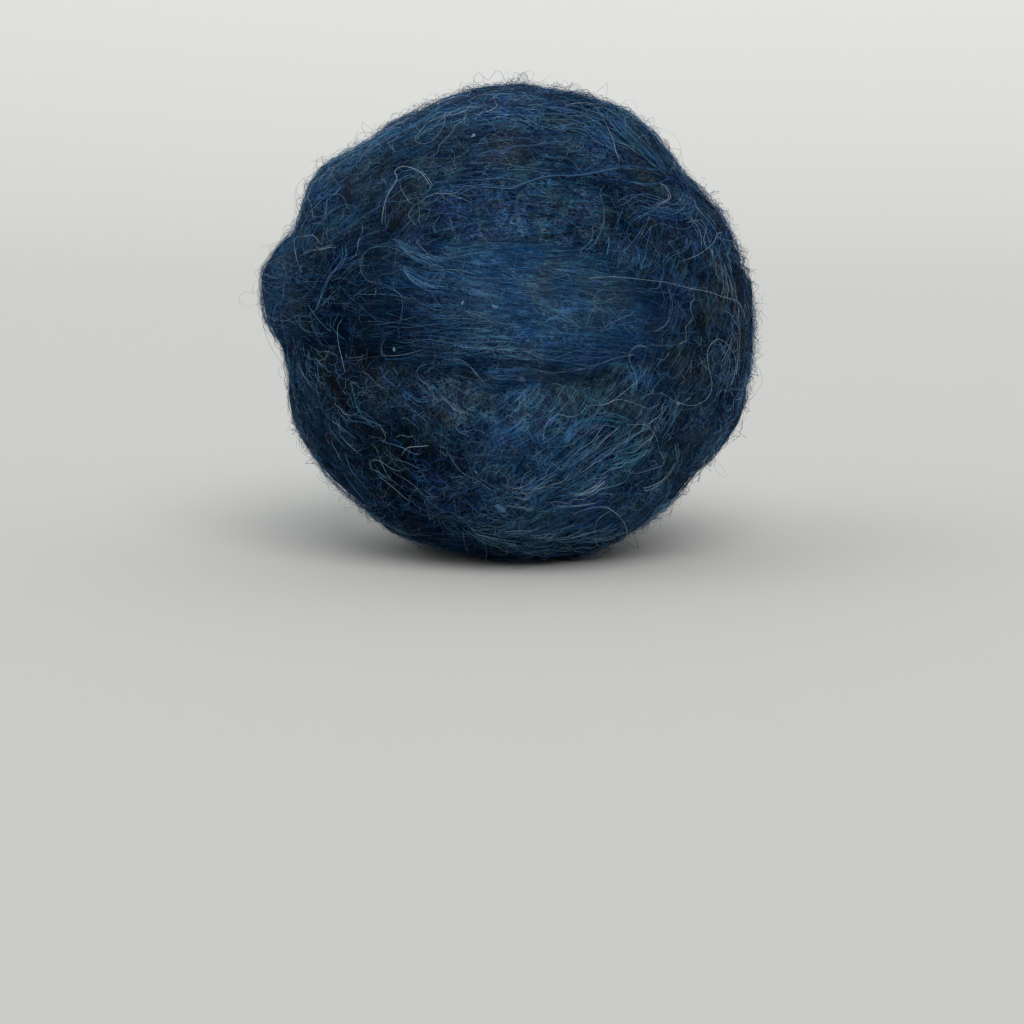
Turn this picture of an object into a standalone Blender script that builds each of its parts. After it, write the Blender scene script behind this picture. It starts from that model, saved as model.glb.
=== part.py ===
# A ball of carded wool roving, wound by hand from one long soft length.
# The ball is a round core with broad wraps over it. Each wrap is a soft, domed band that runs right
# round the ball, and the later ones lie on the earlier. It stands on a small flat spot at z = 0.
# Lengths are metres and angles are degrees. +Z is up, and the front of the ball faces -Y.

from collections import namedtuple

import bmesh
import bpy
import numpy as np

OBJECT_NAME = "roving_ball"

CORE_RADIUS = 0.0415
CENTRE_HEIGHT = 0.0435
TWIST_DEPTH = 0.00016
CREASE_SOFTNESS = 0.00022
DROP_BEYOND_EDGE = 0.012
GRID_CUTS = 28

WOOL_COLOUR = (0.016, 0.035, 0.068, 1.0)
WOOL_ROUGHNESS = 0.9

# Each wrap circles a pole, given by its turn from +X towards +Y and its rise above the floor.
# It is moved off the great circle by shift, and is half_width wide on each side of its middle.
# edge and crown are heights over the core, and twists counts the soft folds across the wrap.
Wrap = namedtuple("Wrap", "name pole_turn pole_rise shift half_width edge crown twists")
WRAPS = (
    Wrap("under_left", 205, 12, -8, 34, 0.0008, 0.0014, 5),
    Wrap("under_back", 80, -35, 4, 36, 0.0009, 0.0014, 5),
    Wrap("under_right", 320, 40, -4, 34, 0.0010, 0.0014, 5),
    Wrap("base", 267, 15, 0, 26, 0.0010, 0.0024, 4),
    Wrap("left_flank", 291, 12, 4, 27, 0.0012, 0.0024, 4),
    Wrap("lower_front", 222, 30, 2, 28, 0.0014, 0.0026, 4),
    Wrap("right_side", 53, 4, 2, 24, 0.0018, 0.0024, 4),
    Wrap("brow", 102, 50, 4, 20, 0.0016, 0.0026, 3),
    Wrap("crest", 93, 23, 0, 24, 0.0014, 0.0028, 4),
    Wrap("middle", 0, 86, 6, 18, 0.0016, 0.0026, 3),
)

# Where a wrap was laid slack or pulled tight: the place along the wrap, how far that reaches and
# how much the wrap rises there.
Slack = namedtuple("Slack", "wrap along reach rise")
SLACKS = (
    Slack("middle", -92, 26, 0.0030),
    Slack("middle", -30, 12, -0.0010),
    Slack("middle", 78, 26, -0.0014),
    Slack("crest", -46, 12, 0.0030),
    Slack("crest", -76, 18, -0.0026),
    Slack("crest", 52, 20, -0.0010),
    Slack("crest", 121, 14, 0.0022),
    Slack("brow", -90, 18, -0.0022),
    Slack("base", -102, 16, -0.0018),
    Slack("left_flank", -86, 16, -0.0014),
    Slack("right_side", -106, 16, -0.0014),
)

# Pits and swellings: the turn from the front towards +X, the lift above the ball's middle, how far
# each reaches and how much it rises.
Spot = namedtuple("Spot", "name turn lift reach rise")
SPOTS = (
    Spot("pit_over_fold", -34, 25, 6, -0.0015),
    Spot("pit_under_fold", -72, -9, 8, -0.0010),
    Spot("notch_right", 90, 39, 8, -0.0026),
    Spot("bulge_below", 40, -60, 13, 0.0012),
    Spot("notch_right_front", 70, 42, 9, -0.0019),
    Spot("notch_right_back", 102, 46, 12, -0.0012),
    Spot("dip_right", 86, 20, 11, -0.0008),
    Spot("dip_crest_left", -63, 58, 12, -0.0013),
    Spot("notch_left", -77, 30, 8, -0.0022),
    Spot("shoulder_right", 80, 55, 8, -0.0008),
    Spot("shoulder_right_edge", 82, 40, 4, -0.0006),
    Spot("shoulder_left", -76, 42, 9, -0.0011),
    Spot("flat_top", 86, 81, 10, -0.0010),
    Spot("flat_left", -89, 23, 6, -0.0010),
    Spot("flat_left_low", -90, -13, 7, -0.0008),
)


def unit(vector):
    return vector / np.linalg.norm(vector)


def pointing(turn, rise):
    """The unit vector at a turn from +X towards +Y and a rise above the floor."""
    turn, rise = np.radians((turn, rise))
    return np.array((np.cos(rise) * np.cos(turn), np.cos(rise) * np.sin(turn), np.sin(rise)))


def wrap_place(wrap, directions):
    """How far along the wrap each direction lies, in degrees from the front, and how far across."""
    pole = pointing(wrap.pole_turn, wrap.pole_rise)
    front = pointing(-90, 0)
    start = unit(front - pole * (front @ pole))
    quarter = np.cross(pole, start)
    along = np.degrees(np.arctan2(directions @ quarter, directions @ start))
    lean = np.degrees(np.arcsin(np.clip(directions @ pole, -1.0, 1.0)))
    return along, (lean - wrap.shift) / wrap.half_width


def slack_rise(wrap, along):
    """The slack and tight places of one wrap, each a soft swelling along it."""
    rise = np.zeros_like(along)
    for slack in SLACKS:
        if slack.wrap == wrap.name:
            apart = (along - slack.along + 180.0) % 360.0 - 180.0
            rise += slack.rise * np.exp(-((apart / slack.reach) ** 2))
    return rise


def wrap_height(wrap, directions):
    """A domed band over the core, full in the middle, rolled at its edges and sunk beyond them."""
    along, across = wrap_place(wrap, directions)
    inside = np.clip(1.0 - across**2, 0.0, 1.0)
    wander = 0.3 * np.sin(2.0 * np.radians(along + wrap.pole_turn))
    twists = TWIST_DEPTH * np.cos(np.pi * wrap.twists * (across + wander))
    beyond = np.clip(np.abs(across) - 1.0, 0.0, None)
    raised = (wrap.crown + slack_rise(wrap, along) + twists) * inside
    return wrap.edge + raised - DROP_BEYOND_EDGE * beyond


def spot_height(directions):
    """All the pits and swellings together."""
    height = np.zeros(len(directions))
    for spot in SPOTS:
        middle = pointing(spot.turn - 90, spot.lift)
        apart = np.degrees(np.arccos(np.clip(directions @ middle, -1.0, 1.0)))
        height += spot.rise * np.exp(-((apart / spot.reach) ** 2))
    return height


def ball_radius(directions):
    """The core with the highest wrap at each place, eased where two wraps meet in a crease."""
    heights = np.stack([wrap_height(wrap, directions) for wrap in WRAPS] + [np.zeros(len(directions))])
    highest = heights.max(axis=0)
    eased = np.exp((heights - highest) / CREASE_SOFTNESS).sum(axis=0)
    return CORE_RADIUS + highest + CREASE_SOFTNESS * np.log(eased) + spot_height(directions)


def round_blank():
    """A cube with a fine grid on each face, spread so that its squares stay even on a sphere."""
    blank = bmesh.new()
    bmesh.ops.create_cube(blank, size=2.0)
    bmesh.ops.subdivide_edges(blank, edges=blank.edges[:], cuts=GRID_CUTS, use_grid_fill=True)
    bmesh.ops.triangulate(blank, faces=blank.faces[:])
    return blank


def wind_ball():
    """Shape the blank into the ball, press its flat spot level and set it down on z = 0."""
    blank = round_blank()
    places = np.array([vertex.co[:] for vertex in blank.verts])
    spread = np.tan(places * np.pi / 4.0)
    directions = spread / np.linalg.norm(spread, axis=1)[:, None]
    shaped = directions * ball_radius(directions)[:, None]
    shaped[:, 2] = np.maximum(shaped[:, 2] + CENTRE_HEIGHT, 0.0)
    for vertex, place in zip(blank.verts, shaped):
        vertex.co = place
    mesh = bpy.data.meshes.new(OBJECT_NAME)
    blank.to_mesh(mesh)
    blank.free()
    mesh.shade_smooth()
    return bpy.data.objects.new(OBJECT_NAME, mesh)


def wool_material():
    material = bpy.data.materials.new("wool_roving")
    material.use_nodes = True
    shader = material.node_tree.nodes["Principled BSDF"]
    shader.inputs["Base Color"].default_value = WOOL_COLOUR
    shader.inputs["Roughness"].default_value = WOOL_ROUGHNESS
    shader.inputs["Metallic"].default_value = 0.0
    return material


def build():
    for old in list(bpy.data.objects):
        bpy.data.objects.remove(old, do_unlink=True)
    collection = bpy.data.collections.new("wool_roving_ball")
    bpy.context.scene.collection.children.link(collection)
    ball = wind_ball()
    ball.data.materials.append(wool_material())
    collection.objects.link(ball)


build()
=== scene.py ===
import math

import bpy
import mathutils
import numpy as np
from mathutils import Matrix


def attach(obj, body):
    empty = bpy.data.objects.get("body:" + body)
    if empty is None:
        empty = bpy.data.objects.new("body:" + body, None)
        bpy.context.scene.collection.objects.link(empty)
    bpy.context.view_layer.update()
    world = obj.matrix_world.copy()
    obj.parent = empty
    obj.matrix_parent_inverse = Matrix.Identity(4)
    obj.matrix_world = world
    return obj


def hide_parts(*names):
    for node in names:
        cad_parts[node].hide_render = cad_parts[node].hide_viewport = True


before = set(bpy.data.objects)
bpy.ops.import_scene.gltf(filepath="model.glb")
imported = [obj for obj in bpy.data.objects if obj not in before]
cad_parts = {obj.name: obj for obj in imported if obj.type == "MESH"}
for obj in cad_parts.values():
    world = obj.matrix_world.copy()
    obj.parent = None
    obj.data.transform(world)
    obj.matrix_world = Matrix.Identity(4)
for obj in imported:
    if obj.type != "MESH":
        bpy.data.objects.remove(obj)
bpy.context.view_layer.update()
nodeName = "roving_ball"
print("frame loaded")

# small helpers for shapes


def table(columns, rows):
    # each row as a dictionary of its columns
    return {name: dict(zip(columns.split(), row)) for name, row in rows.items()}


def unitRows(rows):
    return rows / np.linalg.norm(rows, axis=-1, keepdims=True)


def pointing(turn, rise):
    # unit vector at a turn from +X towards +Y and a rise above the floor, in degrees
    t, r = math.radians(turn), math.radians(rise)
    return np.array([math.cos(r) * math.cos(t), math.cos(r) * math.sin(t), math.sin(r)])


def facing(turn, lift):
    # the same, with the turn counted from the ball's front, -Y, towards +X
    return pointing(turn - 90, lift)


def bell(directions, turn, lift, reach):
    # exp(-(angle away from the place / reach)^2), in degrees
    near = np.clip(directions @ facing(turn, lift), -1, 1)
    return np.exp(-((np.degrees(np.arccos(near)) / reach) ** 2))


def waves(seed, count, reachA, reachB):
    # a soft random field of two coordinates: the sum of cosines with random slopes and phases
    rng = np.random.default_rng(seed)
    slopes = rng.normal(size=(count, 2)) / np.array([reachA, reachB])
    phases = rng.uniform(0, math.tau, count)

    def field(a, b):
        waved = np.cos(a[..., None] * slopes[:, 0] + b[..., None] * slopes[:, 1] + phases)
        return waved.sum(-1) * math.sqrt(2 / count)

    return field


def gridFaces(rows, columns, closed=True):
    # quads of a grid that closes from its last row to its first, and where closed from column to
    # column; they come after the row and column of each quad's first corner
    i, j = np.meshgrid(np.arange(rows), np.arange(columns if closed else columns - 1), indexing="ij")
    nextI, nextJ = (i + 1) % rows, (j + 1) % columns
    corners = [(i, j), (nextI, j), (nextI, nextJ), (i, nextJ)]
    return i, j, np.stack([p * columns + q for p, q in corners], -1).reshape(-1, 4)


def addObject(name, data):
    added = bpy.data.objects.new(name, data)
    bpy.context.scene.collection.objects.link(added)
    return added


def addMesh(name, points, faces, uv, material):
    # points (N, 3), faces (F, 3 or 4) and one uv pair for each corner, in the order of the faces
    mesh = bpy.data.meshes.new(name)
    sides = faces.shape[1]
    mesh.vertices.add(len(points))
    mesh.vertices.foreach_set("co", points.astype(np.float32).ravel())
    mesh.loops.add(faces.size)
    mesh.loops.foreach_set("vertex_index", faces.astype(np.int32).ravel())
    mesh.polygons.add(len(faces))
    mesh.polygons.foreach_set("loop_start", np.arange(0, faces.size, sides, dtype=np.int32))
    mesh.uv_layers.new(name="OFBake").data.foreach_set("uv", uv.astype(np.float32).ravel())
    mesh.materials.append(material)
    mesh.update(calc_edges=True)
    mesh.shade_smooth()
    return addObject(name, mesh)


def pieceName(start, wrapName):
    return start + wrapName[0].upper() + wrapName[1:]


def keepPiece(piece):
    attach(piece, "root")
    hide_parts(nodeName)
    return piece


# the ball's form: the same wraps as in the solid

ball = {
    "coreRadius": 0.0415,
    "centreHeight": 0.0435,
    "twistDepth": 0.00016,
    "twistWander": 0.3,  # how far the twists stray, in shares of the half width
    "lockDepth": 0.00010,  # finer locks that run along each wrap
    "edgeWander": ((0.05, 5, 0), (0.035, 11, 2)),  # size, waves round the ball, phase
    "locks": ((0.62, 2.2, 3, 1), (0.41, -1.7, 5, 2)),  # closeness, sway, its waves, phase
    "creaseSoftness": 0.00022,
    "creaseReach": 0.00050,  # height over a neighbour at which the painted shade of a crease fades out
    "dropBeyondEdge": 0.012,
    "middleRadius": 0.045,  # used to turn lengths on the surface into angles
}
centre = np.array([0.0, 0.0, ball["centreHeight"]])

# each wrap circles a pole at a turn and a rise, shifted off the great circle, in degrees; edge and
# crown are heights over the core
wraps = table("turn rise shift half edge crown twists", {
    "underLeft": (205, 12, -8, 34, 0.0008, 0.0014, 5),
    "underBack": (80, -35, 4, 36, 0.0009, 0.0014, 5),
    "underRight": (320, 40, -4, 34, 0.0010, 0.0014, 5),
    "base": (267, 15, 0, 26, 0.0010, 0.0024, 4),
    "leftFlank": (291, 12, 4, 27, 0.0012, 0.0024, 4),
    "lowerFront": (222, 30, 2, 28, 0.0014, 0.0026, 4),
    "rightSide": (53, 4, 2, 24, 0.0018, 0.0024, 4),
    "brow": (102, 50, 4, 20, 0.0016, 0.0026, 3),
    "crest": (93, 23, 0, 24, 0.0014, 0.0028, 4),
    "middle": (0, 86, 6, 18, 0.0016, 0.0026, 3),
})
wrapNames = list(wraps)

# slack and tight places of a wrap: (place along it, how far that reaches, rise)
slacks = {
    "middle": [(-92, 26, 0.0030), (-30, 12, -0.0010), (78, 26, -0.0014)],
    "crest": [(-46, 12, 0.0030), (-76, 18, -0.0026), (52, 20, -0.0010), (121, 14, 0.0022)],
    "brow": [(-90, 18, -0.0022)],
    "base": [(-102, 16, -0.0018)],
    "leftFlank": [(-86, 16, -0.0014)],
    "rightSide": [(-106, 16, -0.0014)],
}

# pits and swellings: (turn from the front, lift, reach, rise)
spots = [
    (-34, 25, 6, -0.0015), (-72, -9, 8, -0.0010), (90, 39, 8, -0.0026), (40, -60, 13, 0.0012),
    (70, 42, 9, -0.0019), (102, 46, 12, -0.0012), (86, 20, 11, -0.0008), (-63, 58, 12, -0.0013),
    (-77, 30, 8, -0.0022), (80, 55, 8, -0.0008), (82, 40, 4, -0.0006), (-76, 42, 9, -0.0011),
    (86, 81, 10, -0.0010), (-89, 23, 6, -0.0010), (-90, -13, 7, -0.0008),
]


def wrapAxes(wrap):
    # the pole the wrap circles, the direction where it starts at the front, and the one a quarter on
    pole = pointing(wrap["turn"], wrap["rise"])
    front = facing(0, 0)
    start = unitRows(front - pole * (front @ pole))
    return pole, start, np.cross(pole, start)


def wrapPlace(wrap, directions):
    # degrees along the wrap from the front, and the share of the half width across it
    pole, start, quarter = wrapAxes(wrap)
    along = np.degrees(np.arctan2(directions @ quarter, directions @ start))
    lean = np.degrees(np.arcsin(np.clip(directions @ pole, -1, 1)))
    return along, (lean - wrap["shift"]) / wrap["half"]


def wrapHeight(name, along, across):
    # edge + (crown + slack + twists + locks) * (1 - across^2), and a steep fall beyond the edges,
    # which stray in and out as they go round
    wrap = wraps[name]
    turned = np.radians(along + wrap["turn"])
    for size, times, phase in ball["edgeWander"]:
        across = across + size * np.sin(times * turned + phase)
    inside = np.clip(1 - across**2, 0, 1)
    slack = np.zeros_like(along)
    for place, reach, rise in slacks.get(name, []):
        apart = (along - place + 180) % 360 - 180
        slack += rise * np.exp(-((apart / reach) ** 2))
    wander = ball["twistWander"] * np.sin(2 * turned)
    twists = ball["twistDepth"] * np.cos(np.pi * wrap["twists"] * (across + wander))
    locks = sum(np.sin(across * wrap["half"] * close + sway * np.sin(turned * times + phase))
                for close, sway, times, phase in ball["locks"])
    raised = (wrap["crown"] + slack + twists + ball["lockDepth"] * locks) * inside
    beyond = np.clip(np.abs(across) - 1, 0, None)
    return wrap["edge"] + raised - ball["dropBeyondEdge"] * beyond


# the fluff's soft unevenness: broad billows, and closer clumps with hollows between them; past
# crowded, a clump grows by only a part of its field
billow = {"seed": 8, "count": 50, "size": 0.0065, "depth": 0.00022}
clumps = {"seed": 5, "count": 60, "size": 0.0042, "depth": 0.00020,
          "lowest": -1.6, "crowded": 0.6, "growth": 0.3}


def swell(kind, directions):
    # a soft random field over the ball: cosines of the place with random slopes and phases
    rng = np.random.default_rng(kind["seed"])
    slopes = rng.normal(size=(3, kind["count"])) * ball["middleRadius"] / kind["size"]
    phases = rng.uniform(0, math.tau, kind["count"])
    return np.cos(directions @ slopes + phases).sum(-1) * math.sqrt(2 / kind["count"])


def clumpAt(directions):
    # how thick the fluff is, 0 in the middle
    waved = swell(clumps, directions)
    return np.clip(waved, clumps["lowest"], clumps["crowded"] + clumps["growth"] * waved)


def spotHeight(directions):
    # the sum of the pits and swellings, each rise * bell, with the billows and clumps
    height = np.zeros(directions.shape[:-1])
    for turn, lift, reach, rise in spots:
        height += rise * bell(directions, turn, lift, reach)
    height += billow["depth"] * swell(billow, directions)
    return height + clumps["depth"] * clumpAt(directions)


# places that differ from their wrap: turn from the front, lift and reach, then how light, brown,
# royal blue and frizzy the wool is there; what is left off is 0. How light is partly the wool's own
# tone and partly painted shade and painted light, darker in the hollows and along the creases
tints = [
    (-4, 8, 22, 1.6), (-30, 17, 9, 0.9, 0, 0.3), (-43, 3, 15, -2.6, 0.2, 0, 3.5),
    (-55, -25, 17, -1.5, 0.4, 0, 2.0), (-28, -45, 16, -1.2, 0, 0.3, 1.4), (16, -27, 20, 0.7, 0, 0.1, 1.2),
    (0, -12, 14, 1.2, 0.3), (-33, 2, 8, -1.0), (-27, 4, 8, -1.0), (-33, 13, 6, -1.1), (-36, 27, 7, -0.8),
    (-30, -23, 8, -0.8), (-56, -20, 8, 1.1), (-21, -42, 7, 1.1), (-28, -34, 7, 0, 0, 0.9),
    (-58, -41, 8, 0, 0, 0.9), (-9, 26, 6, 0, 0, 0.8), (-6, 48, 7, -0.5), (0, 19, 7, 0.5),
    (7, 2, 8, 0, 0.3), (12, -12, 7, 0.5), (14, -52, 13, 0.25, -0.3), (23, -21, 6, -1.0),
    (38, -26, 8, -0.8), (43, 25, 8, 0, -0.3, 1.0), (53, -20, 8, 0, -0.5, 0.9), (-22, 3, 6, -0.7),
    (-16, 0, 5, -0.4), (-25, -22, 7, -0.5), (19, 41, 6, -0.5), (0, 42, 6, -0.4), (-11, 42, 6, 0.5),
    (24, -34, 6, 0.5), (40, -42, 7, 0.6), (18, 20, 8, 0.4), (7, 0, 7, 0.4), (-36, -7, 7, 0.4),
    (1, 23, 6, 0, 0, -0.6), (0, 3, 8, 0, 0, -0.5), (0, -20, 8, 0, 0, -0.5), (-44, -42, 6, 0, 0, 0.9),
    (8, -46, 20, 0, -0.5), (38, -36, 14, 0, -0.4), (-30, -40, 10, -0.5, -0.3, 0.2),
    (-82, 44, 14, 0, 0.6, 0, 1.0), (-44, 44, 13, -0.6, 0.3, 0, 1.4), (38, 29, 10, -0.8, 0.8, 0, 1.5),
    (-10, 62, 24, 0.9, 0, 0.2), (-62, 38, 14, 0.7, 0.2, 0, 1.4), (60, -4, 20, -0.8, 0.9, 0, 3.0),
    (74, 20, 15, -0.3, 1.0, 0, 3.0), (88, 0, 24, 0, 0.9, 0, 2.5), (-22, 27, 7, -1.2, 0, 0.4, 0.8),
    (-9, 28, 7, 0.2, 0, 0.9), (-66, 12, 12, 0.4, 0.7, 0, 1.5), (-40, -12, 10, 0, 0.9, 0, 1.5),
    (-26, -12, 9, 0, 0, 0.6, 0.5), (-22, -36, 8, 0, 0, 0.8, 0.5), (48, 31, 8, 0.7, 0, 0.8),
    (-38, 24, 10, -0.3, 0.3, 0.2, 0.8), (20, 58, 14, 0.2, 0, 0.5), (28, -36, 10, 0.4, 0, 0.3, 0.4),
    (-8, 50, 12, -0.2, 0.5), (1, -3, 4, -1.0), (10, -6, 4, -1.6), (18, -9, 4, -1.4),
    (120, -30, 18, 0.7, 0.2, 0, 0.8), (142, 28, 20, 0.9, 0, 0.4), (172, -4, 20, 1.3),
    (205, 40, 18, 0.5, 0.7, 0, 1.0), (215, -35, 18, -0.6, 0.2, 0.3, 1.5), (240, 4, 20, 1.3),
    (265, -32, 16, 0.4, 0.6, 0.3, 1.0), (120, 84, 18, 0.4, 0.2, 0.4), (10, 78, 15, -0.3, 0.8, 0, 2.4),
    (10, -56, 20, 0.3, 0.1, 0, 3.2), (-6, -28, 14, 0, 0.2, 0, 1.4), (-24, -26, 14, 0, 0.2, 0, 1.2),
]


def tintAt(directions):
    # light, brown, royal and frizz: for each the sum of amount * bell over the places
    summed = np.zeros((4, *directions.shape[:-1]))
    for turn, lift, reach, *amounts in tints:
        near = bell(directions, turn, lift, reach)
        for total, amount in zip(summed, amounts):
            total += amount * near
    return summed


def allHeights(directions):
    # how high each wrap lies over the core, one row for each wrap
    return np.stack([wrapHeight(n, *wrapPlace(wraps[n], directions)) for n in wrapNames])


def creaseAt(directions, number=None):
    # 1 where two wraps meet at the same height, falling away as one stands clear of the other: the
    # wrap of that number, or else the highest at each place; it sets where shade is painted into the
    # creases
    heights = allHeights(directions)
    own = heights.max(0) if number is None else heights[number]
    others = np.sort(heights, 0)[-2] if number is None else np.delete(heights, number, 0).max(0)
    return np.exp(-(((own - others) / ball["creaseReach"]) ** 2))


def ballRadius(directions):
    # the core with the highest wrap at each place, eased in the creases
    heights = allHeights(directions)
    top = heights.max(axis=0)
    eased = np.exp((heights - top) / ball["creaseSoftness"]).sum(axis=0)
    return ball["coreRadius"] + top + ball["creaseSoftness"] * np.log(eased) + spotHeight(directions)


def overBall(directions, rise):
    # the ball's middle + direction * (radius there + rise)
    return centre + directions * (ballRadius(directions) + rise)[..., None]


def onFloor(points, clearance=0.0):
    # what would reach under the flat spot is pressed level with it
    points[..., 2] = np.maximum(points[..., 2], clearance)
    return points


# shader helpers


class Wire:
    # a shader socket in plain expressions: each operator adds its Math node
    def __init__(self, graph, socket):
        self.graph, self.socket = graph, socket

    def __add__(self, other):
        return self.graph.math("ADD", self, other)

    def __sub__(self, other):
        return self.graph.math("SUBTRACT", self, other)

    def __rsub__(self, other):
        return self.graph.math("SUBTRACT", other, self)

    def __mul__(self, other):
        return self.graph.math("MULTIPLY", self, other)

    def __pow__(self, other):
        return self.graph.math("POWER", self, other)

    __radd__, __rmul__ = __add__, __mul__


class Graph:
    # one material and the way its nodes are added
    def __init__(self, name):
        self.material = bpy.data.materials.new(name)
        self.material.use_nodes = True
        self.nodes = self.material.node_tree.nodes
        self.shader = self.nodes["Principled BSDF"]

    def feed(self, socket, value):
        if isinstance(value, Wire):
            self.material.node_tree.links.new(value.socket, socket)
        else:
            socket.default_value = value

    def add(self, kind, settings=None, inputs=None, output=0):
        node = self.nodes.new("ShaderNode" + kind)
        for key, value in (settings or {}).items():
            if key == "stops":
                self.setStops(node.color_ramp, value)
            else:
                setattr(node, key, value)
        for key, value in (inputs or {}).items():
            self.feed(node.inputs[key], value)
        return Wire(self, node.outputs[output])

    def setStops(self, ramp, stops):
        # stops: (interpolation, [(position, colour), ...])
        ramp.interpolation = stops[0]
        for index, (position, colour) in enumerate(stops[1]):
            stop = ramp.elements[index] if index < 2 else ramp.elements.new(position)
            stop.position, stop.color = position, (*colour, 1)

    def math(self, operation, *values):
        return self.add("Math", {"operation": operation}, dict(enumerate(values)))

    def vectorMath(self, operation, *values):
        # a single number stands for three alike
        values = [(v,) * 3 if isinstance(v, float) else v for v in values]
        return self.add("VectorMath", {"operation": operation}, dict(enumerate(values)))

    def clamp(self, value):
        return self.add("Clamp", {}, {0: value})

    def mix(self, share, first, second):
        # one colour into the other
        colours = {6: first, 7: second}
        colours = {k: v if isinstance(v, Wire) else (*v, 1) for k, v in colours.items()}
        return self.add("Mix", {"data_type": "RGBA"}, {0: share, **colours}, 2)

    def scale(self, colour, share):
        return self.add("VectorMath", {"operation": "SCALE"}, {0: colour, "Scale": share})

    def noise(self, vector, scale, detail=2.0, roughness=0.5, output=0):
        places = {"Vector": vector, "Scale": scale, "Detail": detail, "Roughness": roughness}
        return self.add("TexNoise", {}, places, output)

    def vector(self, x, y, z):
        return self.add("CombineXYZ", {}, {0: x, 1: y, 2: z})

    def objectPlace(self):
        return self.add("TexCoord", {}, {}, 3)

    def uv(self):
        place = self.add("UVMap", {"uv_map": "OFBake"})
        return [self.add("SeparateXYZ", {}, {0: place}, k) for k in (0, 1)]

    def finish(self, colour, roughness, specular, relief=None):
        self.feed(self.shader.inputs["Base Color"], colour)
        self.shader.inputs["Roughness"].default_value = roughness
        self.shader.inputs["Specular IOR Level"].default_value = specular
        if relief:
            self.feed(self.shader.inputs["Normal"], self.add("Bump", {}, relief))
        return self.material


# the mass of each wrap

mass = {
    "steps": (220, 120),  # sections round a wrap, and round one mostly hidden by the others
    "across": (30, 18),  # points over its top
    "overhang": 1.14,  # how far past its half width the section runs down
    "crowding": 0.86,  # of its points towards the edges, below 1
    "below": 0.00030,  # under the coat's middle
    "rough": 0.00018,
    "roughWaves": (40, 6.0, 0.07),  # count, reach along in degrees and across in half widths
    "clump": 0.00022,  # how much deeper the hollows between clumps go in the mass
    "innerRadius": 0.0395,
    "inner": 2,  # points on its hidden under side
    "innerShare": 0.9,  # of the overhang, for those points
    "topShare": 0.9,  # of the map, for the top of the section
    "apart": 31.0,  # from the pattern of one wrap to that of the next
}

# its pattern: noises are (scale, detail, roughness); what changes from combed wool to a mat is
# (combed, change); a share of a colour is (slope, start, weight), for clamp(noise * slope - start
# + tint * weight)
pattern = {
    "streakLength": 0.012,
    "patch": (110.0, 3.0), "broad": (55.0, 2.0), "fluff": (210.0, 4.0, 0.6), "dyed": (230.0, 3.0),
    # streaks: cell in millimetres, sway, sharpness, weight
    "combed": ((0.52, -0.2), (2.0, 3), 16, (1.1, -0.4)),
    "crossing": ((0.50, 0), (26.0, 0), 17, (0.5, 0.3)),
    "drift": (0.2, 0.9),  # scale of the streaks' sway, across and all over
    # tangles: scale, warp, sharpness, weight
    "fine": (1500.0, 2.2, 17, (0.3, 0.6)),
    "wide": (560.0, 3.0, 24, (0.15, 0.5)),
    "push": 0.3,  # scale of the noise that bends them, against their own
    "fluffShare": (4.0, 1.5), "midShare": (3.0, 1.0), "tealShare": (6, 2.6),
    "violetShare": (9, 5.0, 0.9), "taupeShare": (3, 1.8, 0.8), "warmShare": (4, 2.1, 0.6),
    "thinPlaces": 0.3,  # how much of the lines shows where the fluff is thin
    "warmCover": 0.8, "matCover": 0.72, "creaseCover": 0.4, "hairCover": (0.6, 0.4), "mostHair": 0.9,
    "light": (0.6, 1.16, 0.35),  # gain for the tint's lightness, partly painted light and shade, plain value and the least
    "relief": (0.0004, 0.6),  # depth, and the share of the lines in it
    "deep": (0.0002, 0.0034, 0.0135), "mid": (0.0018, 0.0125, 0.0370),
    "blue": (0.0240, 0.0980, 0.2600), "teal": (0.0330, 0.1300, 0.1900),
    "violet": (0.0330, 0.0720, 0.2350), "grey": (0.1100, 0.1850, 0.2500),
    "warm": (0.0130, 0.0125, 0.0130), "taupe": (0.0850, 0.0900, 0.1150),
    "roughness": 0.85, "specular": 0.0,
}

# for each wrap: how tangled its fibres lie, from 0 combed to 1 a mat, how light its mass is, how
# bright the thin lines over it are, and how thick its fibres are
looks = table("tangled lightness crispness thickness", {
    **dict.fromkeys(wrapNames[:3], (1.0, 1.0, 1.0, 1.0)),
    "base": (0.8, 0.5, 1.4, 0.76),
    "leftFlank": (0.9, 0.6, 1.25, 0.78),
    "lowerFront": (0.6, 0.7, 1.35, 0.84),
    "rightSide": (1.0, 0.7, 1.15, 1.0),
    "brow": (0.7, 1.0, 1.0, 0.92),
    "crest": (0.7, 0.9, 1.15, 0.92),
    "middle": (0.2, 2.2, 1.0, 0.66),
})
# layers on each point: the painted shade of the creases, then the tints' lightness (partly painted light
# and shade), brown and royal
massLayers = ("crease", "light", "brown", "royal")


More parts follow.
